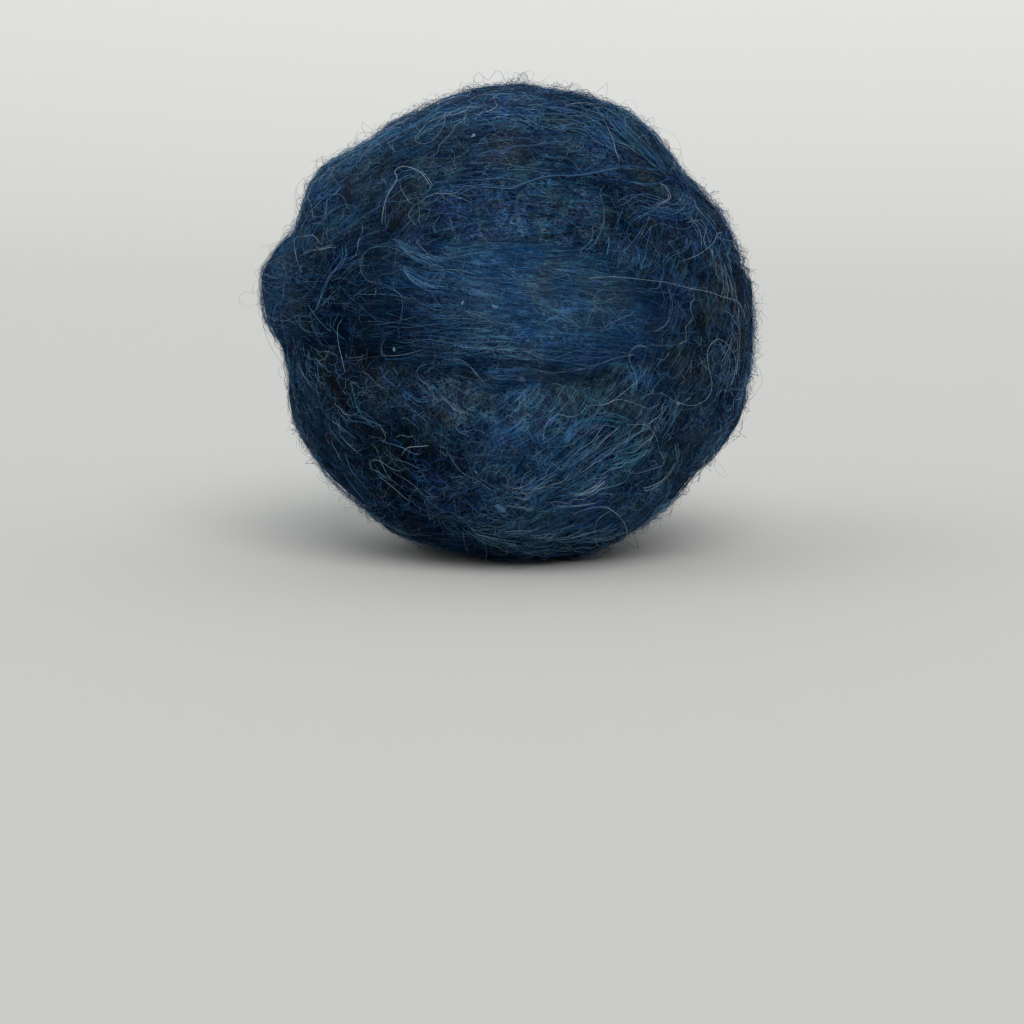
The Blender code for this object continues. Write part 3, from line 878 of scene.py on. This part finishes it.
# strands and single hairs that lie on top: count, spread and lift in millimetres, colours, and
# the places they run through: a turn from the front and a lift for each, in degrees
wisps = {
    "hook": (1, 0, 0.9, "pale", -43.9, 59.8, -36.9, 55.1, -35.9, 51, -35.4, 48.8, -31.6, 47.1, -28, 47.5,
        -26.2, 50.4, -27.1, 54.7, -29.9, 57.7, -29, 58.9, -26, 57.6),
    "curl": (1, 0, 0.8, "pale", -7.1, 65.5, -9.9, 64.2, -7.3, 60.6, -10.4, 58.5, -15.1, 58.2),
    "arc": (2, 0.15, 0.9, "pale", -36.3, 26.9, -34.9, 31.8, -32.8, 36.3, -34.7, 38.4, -33.1, 39.8,
        -28.8, 39.1, -24.9, 37.5, -21.7, 34.6),
    "arcDown": (1, 0, 0.8, "pale", -32.8, 36.3, -29.5, 33, -25.6, 30.3, -20.7, 32.7, -16.1, 32.8,
        -10.6, 31.6),
    "cross": (5, 0.9, 0.3, "blue", -33.3, 40.1, -34.5, 36.8, -35.5, 33.2, -36.1, 29.5, -37, 25.9),
    "teal": (2, 0.3, 0.4, "light", -59.8, 23.9, -52.2, 25.4, -41.3, 26.4),
    "bumpLoop": (1, 0, 0.9, "pale", -59.7, 14.7, -64.1, 18.7, -64.3, 21.1, -58.8, 21.8, -56.5, 22.2,
        -52.1, 20.3),
    "bumpLine": (2, 0.2, 0.6, "pale", -61.4, 17.6, -53.1, 18.8, -47.2, 20),
    "tuft": (24, 0.55, 0.6, "bright", -34.2, 23.9, -29.4, 22.1, -25.6, 20, -19.8, 17.9, -15.5, 16.2),
    "tuftLow": (26, 0.6, 0.6, "bright", -27.8, 17.2, -26, 15.7, -22.8, 13.6, -18.8, 12.3, -14.4, 11.6),
    "tuftLoop": (3, 0.4, 0.5, "light", -31.7, 12.3, -35.4, 13, -38.5, 15.7, -39.2, 18.8, -37.4, 21.1,
        -33.6, 22.2, -29.1, 21.1),
    "leftBlue": (6, 0.8, 0.4, "blue", -54.7, 2.8, -51.4, 6, -49.7, 8.6, -47.2, 12.7, -44.8, 16.3,
        -44.3, 19.6, -45.4, 22.1),
    "leftBlue2": (6, 0.8, 0.4, "blue", -47.9, 12.6, -43.6, 14.5, -40.3, 17.1, -36.5, 20),
    "hollowArc": (2, 0.3, 0.4, "light", -26, 3.4, -25.4, 7.4, -26.4, 10.4, -31.7, 12.3),
    "hollowArc2": (2, 0.3, 0.4, "light", -42.1, 5.6, -40.4, 7.7, -37.5, 9.6, -33, 12.2),
    "strand": (8, 0.17, 0.8, "bright", -19, 30.6, -13.6, 34, -8.9, 35.5, -0.8, 34.8, 4.6, 36.6, 10.3, 37.9,
        16.6, 37.9, 22.2, 38.6, 29.1, 39.9, 38.5, 40.7, 48.3, 40.1, 59.6, 41.6),
    "strandCore": (5, 0.12, 0.9, "bright", -20, 30.2, -13.6, 34, -8.9, 35.5, -0.8, 34.9, 4.6, 36.6,
        10.3, 37.9, 14.5, 38),
    "branch": (4, 0.2, 0.7, "bright", 13.1, 37.6, 18.5, 38.4, 24.7, 41.1, 30.1, 44.3, 33.9, 46.7),
    "strandUnder": (4, 0.25, 0.7, "bright", 23.8, 37.2, 31.6, 37.1, 38.8, 35.7, 45.1, 36.4, 51.5, 37.8,
        56, 37.2),
    "drop": (3, 0.2, 0.6, "light", 25.7, 35.9, 23.7, 33.9, 23.9, 30, 23.1, 26.6, 20.3, 22.4, 17.7, 20.7),
    "browLoop": (2, 0.3, 0.5, "light", 12.3, 32.5, 8.4, 33.1, 2.3, 33.1, 1, 31.1, 1.5, 28.5, 3.5, 24.6),
    "crestHair": (1, 0, 0.7, "pale", 27.6, 63.8, 35.6, 63.1, 41.3, 61.8, 38.6, 55.5, 35.7, 49.7,
        34.2, 45.5, 34.3, 42.2),
    "crestBlue": (16, 1.4, 0.5, "blue", 21.8, 56.1, 27.1, 54.9, 30, 53, 31.6, 49, 35.9, 46.7, 40.4, 43.1),
    "crestRight": (11, 1.3, 0.5, "blue", 47, 62, 46.4, 57.5, 43.8, 49.8, 47.9, 46.2, 52.4, 42.8,
        55.9, 40.4),
    "crestLeft": (18, 1.3, 0.5, "light", -56.7, 39.6, -57.1, 44.8, -57.4, 51.1, -49.6, 55.7, -38.4, 58.4,
        -24.8, 60.3, -11.3, 62.4),
    "crestDown": (8, 0.7, 0.4, "blue", 16.3, 65.2, 10.8, 58.6, 8.3, 52),
    "royalTuft": (24, 1.4, 0.6, "blue", 61.1, 33.2, 54.2, 29.9, 47.1, 28.1, 40.5, 28.7, 34.3, 28.6,
        29.6, 27),
    "shortPale": (2, 0.3, 0.6, "pale", 46.5, 36.6, 46.7, 33.9, 44.7, 31.7, 39.5, 30.2),
    "longPale": (1, 0, 0.7, "pale", 16.3, 13.6, 22.4, 14, 30.1, 13.4, 38.7, 12, 45.9, 10.3, 56.7, 8.2,
        67.8, 5.7, 74.7, 1.5),
    "rightDrop": (3, 0.4, 0.5, "light", 38.3, 11.7, 38.3, 8.4, 37.6, 5.8, 36.3, 3, 32.9, 1.2),
    "rightLoop": (1, 0, 0.8, "pale", 43.4, 17, 49.5, 18.3, 55.6, 20.4, 60.8, 22.7, 68.9, 23.3),
    "rightLoop2": (1, 0, 0.7, "pale", 48.9, 25.9, 53.9, 26.1, 55.4, 24.2, 52.3, 21.4, 53.3, 19.1),
    "rightLoop3": (2, 0.3, 0.6, "light", 37.5, 16.3, 39.7, 18.5, 44.8, 19.6, 47.6, 22.1),
    "bigLoop": (1, 0, 1.3, "pale", 32.1, -10.3, 37.2, -12.8, 41.1, -14.6, 47, -15.8, 50.2, -14.4,
        50.9, -11.2, 48.9, -6.9, 48.4, -3.1, 51.8, -0.9, 57.1, -2.3, 61.2, -6.2, 60.9, -9.7, 60.2, -13.2,
        69.1, -16.4, 78.9, -16.3, 79.1, -12.1, 75.4, -6.6),
    "knotLoop": (1, 0, 0.9, "pale", 31.5, -2, 28.8, -1.1, 26.9, -2.1, 26.6, -4.3, 28.3, -8.1, 28.7, -11),
    "wander": (1, 0, 0.6, "pale", 29.3, -8.8, 25.1, -11.8, 21.5, -14, 17.5, -14.5, 15.6, -16.3, 13.3, -17,
        10, -16.4, 7.5, -19.2, 7.3, -23.9),
    "wander2": (1, 0, 0.6, "pale", 36.7, -14.4, 32.5, -15.3, 27.8, -13.7, 24.2, -13.1, 21.1, -14.7),
    "hookRight": (1, 0, 0.7, "pale", 27.1, -19.2, 32.9, -19.6, 36, -21.9, 40.4, -26.8, 44.5, -30.2,
        44.5, -32.5),
    "stroke1": (11, 1.3, 0.5, "light", 5.8, -42.2, 9.2, -38.4, 13.2, -36.7, 16.1, -34.1, 19.4, -29.9,
        23.4, -26, 29.6, -23.2, 35.2, -21.1),
    "stroke2": (10, 1.2, 0.5, "light", 7.9, -25.3, 11.3, -22.7, 15.2, -20.3, 19.7, -17.9, 26.1, -18.6,
        26.9, -22.3, 25, -24.8),
    "stroke3": (9, 1.0, 0.5, "light", 8.3, -32.1, 11.9, -29.4, 15.8, -26.1, 19, -22.4, 23.1, -19.6),
    "stroke4": (5, 0.6, 0.5, "pale", 14.4, -38.4, 19.2, -37.9, 23.5, -35.3, 27.8, -34.3),
    "stroke5": (8, 0.8, 0.4, "blue", 2.5, -50.9, 11.8, -51.5, 19.8, -50.7, 25.7, -49.2, 31.4, -44.3,
        37.1, -41.7),
    "stroke6": (7, 0.9, 0.5, "light", 23.1, -30.7, 27.6, -28.8, 33.6, -27.1, 40.2, -25.7),
    "ring": (2, 0.2, 0.9, "pale", 19.6, -45.8, 23.7, -43.2, 29, -42.9, 34, -44.6, 41.4, -48.6, 48.2, -53,
        69, -62.1, 66.5, -64.2),
    "ringIn": (1, 0, 0.7, "pale", 46.1, -61.2, 36.5, -56.2, 31.8, -50.7, 31.5, -46.9, 35, -45),
    "rightBend": (2, 0.3, 0.6, "pale", 47.3, -25.9, 49.7, -30.1, 48.3, -34.8, 45.1, -37, 40.8, -38.9),
    "lowTuft": (18, 0.9, 0.6, "light", 72.5, -57.2, 59.5, -50.1, 59.8, -46, 77.3, -46, 74.2, -42.4),
    "lowTuft2": (9, 0.7, 0.5, "blue", 49.7, -35.8, 53.6, -39.3, 55.9, -43.5, 55.6, -48),
    "leftHair": (1, 0, 0.6, "pale", -42.3, 4.3, -43.6, 1.6, -43.8, -1.9, -43, -5.3, -42.9, -8.8),
    "leftHair2": (2, 0.2, 0.6, "light", -41.5, -9.5, -40.3, -12.2, -39.4, -17.1, -37.7, -19.7,
        -34.9, -21.1),
    "leftHair3": (2, 0.3, 0.5, "light", -30.4, 1, -31.3, -2, -30.7, -4, -26.4, -3.8, -20.2, -2),
    "sky": (6, 0.5, 0.5, "light", -16.3, -3.9, -12.9, -4, -9.6, -5.3, -7.5, -8.5, -6.3, -11.7),
    "sky2": (5, 0.4, 0.5, "light", -28.1, -11.9, -25.3, -12.7, -23.1, -14, -18.3, -14.1),
    "sky3": (4, 0.5, 0.5, "light", -22.7, -16.7, -17.9, -14.6, -12.9, -12.1),
    "crossHair": (2, 0.3, 0.5, "pale", -17.2, -12.7, -14.4, -14.7, -11.2, -16.9),
    "bend": (1, 0, 0.6, "pale", -31.6, -29.3, -28.1, -26, -25.3, -25.4, -21.6, -25.4),
    "smallLoop": (1, 0, 0.6, "pale", -43.9, -33.5, -41.6, -30.5, -38.6, -30.2, -38.2, -32.8, -38.4, -35.8),
    "downHair": (1, 0, 0.7, "pale", -19.7, -53.2, -22.6, -59.1, -26, -64.7, -44.5, -76.2),
    "downHair2": (1, 0, 0.7, "pale", -12.5, -55.1, -12.4, -60.6, -21.3, -72),
    "midHair": (2, 0.3, 0.3, "light", 4.7, 3.3, 7.5, 4.4, 10.1, 5.2, 12.3, 4.3, 14, 2.6),
    "midHair2": (3, 0.6, 0.3, "light", 19, 2.5, 21.8, 3.5, 25, 5.1, 28.9, 6.1),
    "lowCurls": (5, 1.0, 0.5, "light", -9.2, -36.4, -9.4, -33, -7.3, -29.8, -4.1, -28.6, -1.5, -30.1),
    "diag": (6, 0.8, 0.5, "light", -1.9, -20.5, 1.2, -16.8, 3.5, -13.3, 6.2, -10.9, 8.4, -9),
    # dark ink fibres laid along the shadow under the middle wrap's lower edge: a painted shade
    "crease": (10, 0.8, 0.3, "ink", -20.1, -4.7, -14, -3.6, -8.3, -3.2, -2.8, -3.8, 2.6, -4.5, 9.3, -5.9,
        17.4, -8.1, 24.5, -10.5),
    "bottomHairs": (64, 4.0, 0.6, "fine", -20, -50, -8, -53, 6, -57, 22, -58, 42, -56, 60, -50),
    "lowerHairs": (40, 4.6, 0.6, "fine", -4, -38, 8, -36, 20, -31, 32, -25, 44, -18),
    "leftLowHairs": (22, 5.2, 0.5, "fine", -62, -6, -55, -14, -48, -24, -38, -34, -24, -44),
    "crestHairs": (30, 4.4, 0.5, "fine", -40, 52, -20, 60, 6, 63, 28, 60, 46, 50),
    "rightHairs": (26, 4.0, 0.5, "fine", 52, 34, 58, 22, 62, 8, 62, -6, 56, -22),
    "shoulderHairs": (44, 2.6, 0.6, "dusty", -86, 26, -82, 37, -75, 48, -62, 58, -40, 66),
}

# the colours a strand or hair is picked from, after its radius
wispColours = {
    "light": (0.000033, "steel sky denim silver sky slate teal"),
    "fine": (0.000043, "silver pale sky sky silver steel"),
    "dusty": (0.000040, "slate silver slate violet pale silver"),
    "bright": (0.000035, "sky steel sky denim sky royal"),
    "pale": (0.000055, "silver pale pale pale"),
    "blue": (0.000036, "royal denim steel sky sky teal royal"),
    "ink": (0.000038, "ink navy ink deepBlue"),
}
wispForm = {
    "few": (4, 60),  # points for each place on the curve, and at most, for fewer than 4 hairs
    "many": (3, 26),
    "looseEnds": 0.28,  # the most of the curve that one of many hairs leaves out at each end
    "splay": (0.55, 0.45),  # how far to the side a hair starts, and what it gains, in spreads
    "swing": 0.45,  # its wave to the sides, in spreads
    "rates": (4, 11),  # of the wave along the hair
    "lifts": (0.25, 1.0),
    "tuck": 0.25,  # of the ends, in millimetres
    "radii": (0.7, 1.2),
    # the loose fine and dusty hairs: points, where they start at most, and their lengths and wave
    "loose": (8, 0.78, (0.10, 0.22), 0.07),
}

# small hard knots in the wool: turn from the front, lift, size in millimetres, two colours
knots = [
    (-3.6, -41.5, 1.2, "sky", "silver"),
    (-13.9, 50.6, 0.5, "pale", "pale"),
    (-10.9, 8.4, 0.4, "silver", "pale"),
    (-3.9, 7.6, 0.55, "sky", "pale"),
    (-27.8, -2.1, 0.4, "silver", "pale"),
    (2, -8.1, 0.7, "slate", "pale"),
    (41.2, -14.8, 0.5, "sky", "pale"),
    (-9.8, -31.5, 0.4, "slate", "pale"),
]
knotForm = {
    "fibres": (10, 60),  # in the smallest, and more for each millimetre of size
    "points": 7,
    "lift": (0.0002, 0.0003),  # of the smallest, and more for each millimetre
    "radius": (0.000026, 0.000008),
    "wide": 0.6,  # against its length
    "flat": 0.25,
    "drift": 0.42,  # of a fibre from the middle, in sizes
    "winding": (0.38, 1, 5),  # of a fibre round its own middle: size, and range of the rate
    "firstShare": 0.75,  # of the fibres, in the first colour
}


def smoothCurve(corners, places):
    # Catmull-Rom curve through the corners, read at places counted in corners
    padded = np.concatenate([2 * corners[:1] - corners[1:2], corners, 2 * corners[-1:] - corners[-2:-1]])
    first = np.clip(places.astype(int), 0, len(corners) - 2)
    f = (places - first)[..., None]
    a, b, c, d = (padded[first + k] for k in range(4))
    return 0.5 * (2 * b + (c - a) * f + (2 * a - 5 * b + 4 * c - d) * f**2
                  + (3 * b - a - 3 * c + d) * f**3)


def wispPaths(wisp, rng):
    # hairs side by side along one curve on the ball, each with its own ends, offset and wave; each
    # loose fine one follows only a short stretch of the curve
    count, spread, lift, colours, *places = wisp
    radius, held = wispColours[colours]
    corners = np.array([facing(*place) for place in np.reshape(places, (-1, 2))])
    few = count < 4
    each, most = wispForm["few" if few else "many"]
    steps, swing = min(each * len(corners), most), wispForm["swing"]
    missed = 0.0 if few else wispForm["looseEnds"]
    low = rng.uniform(0, missed, (count, 1))
    high = 1 - rng.uniform(0, missed, (count, 1))
    if colours in ("fine", "dusty"):
        steps, latest, lengths, swing = wispForm["loose"]
        low = rng.uniform(0, latest, (count, 1))
        high = low + rng.uniform(*lengths, (count, 1))
    share = np.linspace(0, 1, steps)[None]
    middleLine = smoothCurve(corners, (low + (high - low) * share) * (len(corners) - 1))
    tangent = unitRows(np.gradient(middleLine, axis=1))
    sideways = np.cross(unitRows(middleLine), tangent)
    rates = rng.uniform(*wispForm["rates"], (count, 1))
    wave = np.sin(share * rates + rng.uniform(0, math.tau, (count, 1)))
    start, gain = wispForm["splay"]
    offset = spread * (rng.normal(size=(count, 1)) * (start + gain * share) + swing * wave)
    offset = offset if count > 1 else 0 * offset
    directions = unitRows(middleLine + sideways * (offset / 1000 / ball["middleRadius"])[..., None])
    bow = 1 - (2 * share - 1) ** 4
    rise = lift * rng.uniform(*wispForm["lifts"], (count, 1)) * bow
    rise = (rise - wispForm["tuck"] * (1 - bow)) / 1000
    radii = radius * rng.uniform(*wispForm["radii"], count)
    held = np.array([shadeNames.index(name) for name in held.split()])
    shade = held[rng.integers(0, len(held), count)]
    return overBall(directions, rise), radii, shade, even


def knotPaths(knot, rng):
    # short fibres wound on themselves: middle + size * (drift + sines of different rates), long one
    # way on the surface, narrower the other way and flat
    turn, lift, size, *colours = knot
    direction = facing(turn, lift)
    least, more = knotForm["lift"]
    middle = centre + direction * (ballRadius(direction[None])[0] + least + size * more)
    long = unitRows(np.cross(direction, rng.normal(size=3)))
    wide = knotForm["wide"] * np.cross(direction, long)
    axes = np.stack([long, wide, knotForm["flat"] * direction])
    least, more = knotForm["fibres"]
    count = int(least + size * more)
    s = np.linspace(0, 1, knotForm["points"])[None, :, None]
    wound, *rates = knotForm["winding"]
    rates, phases = (rng.uniform(*limits, (count, 1, 3)) for limits in (rates, (0, math.tau)))
    drift = np.clip(rng.normal(size=(count, 1, 3)), -2, 2) * knotForm["drift"]
    paths = middle + size / 1000 * (drift + wound * np.sin(rates * s + phases)) @ axes
    first = rng.uniform(size=count) < knotForm["firstShare"]
    least, more = knotForm["radius"]
    shade = np.where(first, *map(shadeNames.index, colours))
    return paths, np.full(count, least + size * more), shade, even


def layCoat(material, rng):
    middles = unitRows(rng.normal(size=(coat["tries"], 3)))
    plain, more, least = coat["thick"]
    kept = rng.uniform(size=len(middles)) < np.maximum(plain + more * clumpAt(middles), least)
    middles = middles[kept & (middles[:, 2] > coat["bottom"])]
    # the wraps' fibres mingle where one wrap passes into the next
    heights = allHeights(middles)
    above = (heights + coat["mingle"] * rng.normal(size=heights.shape)).argmax(0)
    most, curls = coat["frizz"][:2]
    curled = 1 + curls * np.clip(tintAt(middles)[3], 0, most)
    which = rng.uniform(size=len(middles)) ** (1 / curled)
    depth = rng.uniform(coat["deepest"], coat["highest"], len(middles))
    for number, name in enumerate(wrapNames):
        limits = np.cumsum((0, *habits[name]["shares"]))
        groups = []
        for order, kind in enumerate(kinds.values()):
            mine = (above == number) & (which >= limits[order]) & (which < limits[order + 1])
            if mine.sum() > 2:
                paths, radii = layFibres(name, kind, middles[mine], depth[mine], rng)
                picked = pickShades(name, middles[mine], depth[mine], rng)
                groups.append((paths, radii, picked, fading))
        if groups:
            fibrePiece(pieceName("fibres", name), groups, material)


def layStrands(material, rng):
    groups = [wispPaths(wisp, rng) for wisp in wisps.values()]
    groups += [knotPaths(knot, rng) for knot in knots]
    fibrePiece("strands", groups, material)


def layFuzz(material, rng):
    fluff = unitRows(rng.normal(size=(fuzz["tries"], 3)))
    plain, more = fuzz["share"]
    thick = rng.uniform(size=len(fluff)) < plain * (1 + more * tintAt(fluff)[3])
    fluff = fluff[thick & (fluff[:, 2] > fuzz["bottom"])]
    paths, radii = fuzzPaths(fluff, rng)
    weight = np.array(mixes["brown"]) + np.array(mixes["blue"])
    picked = rng.choice(len(shades), size=len(fluff), p=weight / weight.sum())
    fibrePiece("fuzz", [(paths, radii, picked, even)], material)


dyed, draws = fibreMaterial(), np.random.default_rng(coat["seed"])
for lay in (layCoat, layStrands, layFuzz):
    lay(dyed, draws)
print("fibres, strands and fuzz laid")

# stage

stage = {
    "floorRadius": 2.4,
    "hole": 0.02,  # in the middle, closed by one flat face
    "steps": (16, 96),  # up the bend and round the bowl
    "bend": 1.2,
    "wallHeight": 1.3,
    "floor": (0.525, 0.525, 0.508),
    "wall": (0.655, 0.655, 0.645),
    "blend": (1.6, 0.02),  # the wall's share for each metre of height, and on the floor
    "roughness": 0.9,
    "specular": 0.1,
}
# broad even lights: turn round the ball and rise above the floor, strength and spread in degrees
lamps = {
    "key": (-78, 46, 1.8, 40, (1.0, 0.99, 0.97)),
    "fill": (-156, 32, 0.7, 60, (0.95, 0.98, 1.0)),
}
sky = {"colour": (0.95, 0.98, 1.0, 1), "strength": 0.72}
eye = {
    "distance": 0.45,
    "lift": 4.0,  # degrees above the ball's middle
    "pixel": 0.0001915,  # one pixel at the ball
    "frame": 1024,
    "ballAt": (513, 324),
    "sensor": 36.0,
}


def makeStage():
    # a bowl: a flat disc whose rim turns up into a round wall, r(s) and z(s) turned about Z
    bend = stage["bend"]
    up, about = stage["steps"]
    arc = np.linspace(0, np.pi / 2, up)
    flat = stage["floorRadius"] - bend
    r = np.concatenate([[stage["hole"], flat * 0.5], flat + bend * np.sin(arc), [stage["floorRadius"]]])
    z = np.concatenate([[0, 0], bend - bend * np.cos(arc), [stage["wallHeight"]]])
    turn = np.linspace(0, 2 * np.pi, about, endpoint=False)[:, None]
    points = np.stack([r * np.cos(turn), r * np.sin(turn), z + 0 * turn], -1)
    faces = gridFaces(*points.shape[:2], closed=False)[2]
    faces = np.roll(faces[:, ::-1], 1, axis=1)  # turned over, to face the ball
    middle = list(range(0, points.shape[0] * points.shape[1], points.shape[1]))
    mesh = bpy.data.meshes.new("studioBowl")
    mesh.from_pydata(points.reshape(-1, 3).tolist(), [], [*faces.tolist(), middle])
    mesh.shade_smooth()
    graph = Graph("studioPaper")
    height = graph.add("SeparateXYZ", {}, {0: graph.objectPlace()}, 2)
    rise, least = stage["blend"]
    colour = graph.mix(graph.clamp(height * rise + least), stage["floor"], stage["wall"])
    mesh.materials.append(graph.finish(colour, stage["roughness"], stage["specular"]))
    addObject("studioBowl", mesh)


def makeLight(name, turn, rise, strength, spread, colour):
    data = bpy.data.lights.new(name, "SUN")
    data.energy, data.angle, data.color = strength, math.radians(spread), colour
    away = mathutils.Vector(-pointing(turn, rise))
    addObject(name, data).rotation_euler = away.to_track_quat("-Z", "Y").to_euler()


def makeCamera():
    lift, distance = math.radians(eye["lift"]), eye["distance"]
    data = bpy.data.cameras.new("eye")
    data.sensor_width = eye["sensor"]
    data.lens = eye["sensor"] * distance / (eye["frame"] * eye["pixel"])
    data.clip_start, data.clip_end = 0.01, 10
    middle = eye["frame"] / 2
    up = math.atan((middle - eye["ballAt"][1]) * eye["pixel"] / distance)
    across = math.atan((eye["ballAt"][0] - middle) * eye["pixel"] / distance)
    camera = addObject("eye", data)
    camera.location = centre + distance * np.array([0, -math.cos(lift), math.sin(lift)])
    camera.rotation_euler = (math.pi / 2 - lift - up, 0, across)
    bpy.context.scene.camera = camera


def makeWorld():
    world = bpy.data.worlds.new("softSky")
    world.use_nodes = True
    background = world.node_tree.nodes["Background"]
    background.inputs["Color"].default_value = sky["colour"]
    background.inputs["Strength"].default_value = sky["strength"]
    bpy.context.scene.world = world


makeStage()
for lampName, lamp in lamps.items():
    makeLight(lampName, *lamp)
makeWorld()
makeCamera()
bpy.context.scene.view_settings.view_transform = "Standard"
print("stage set")
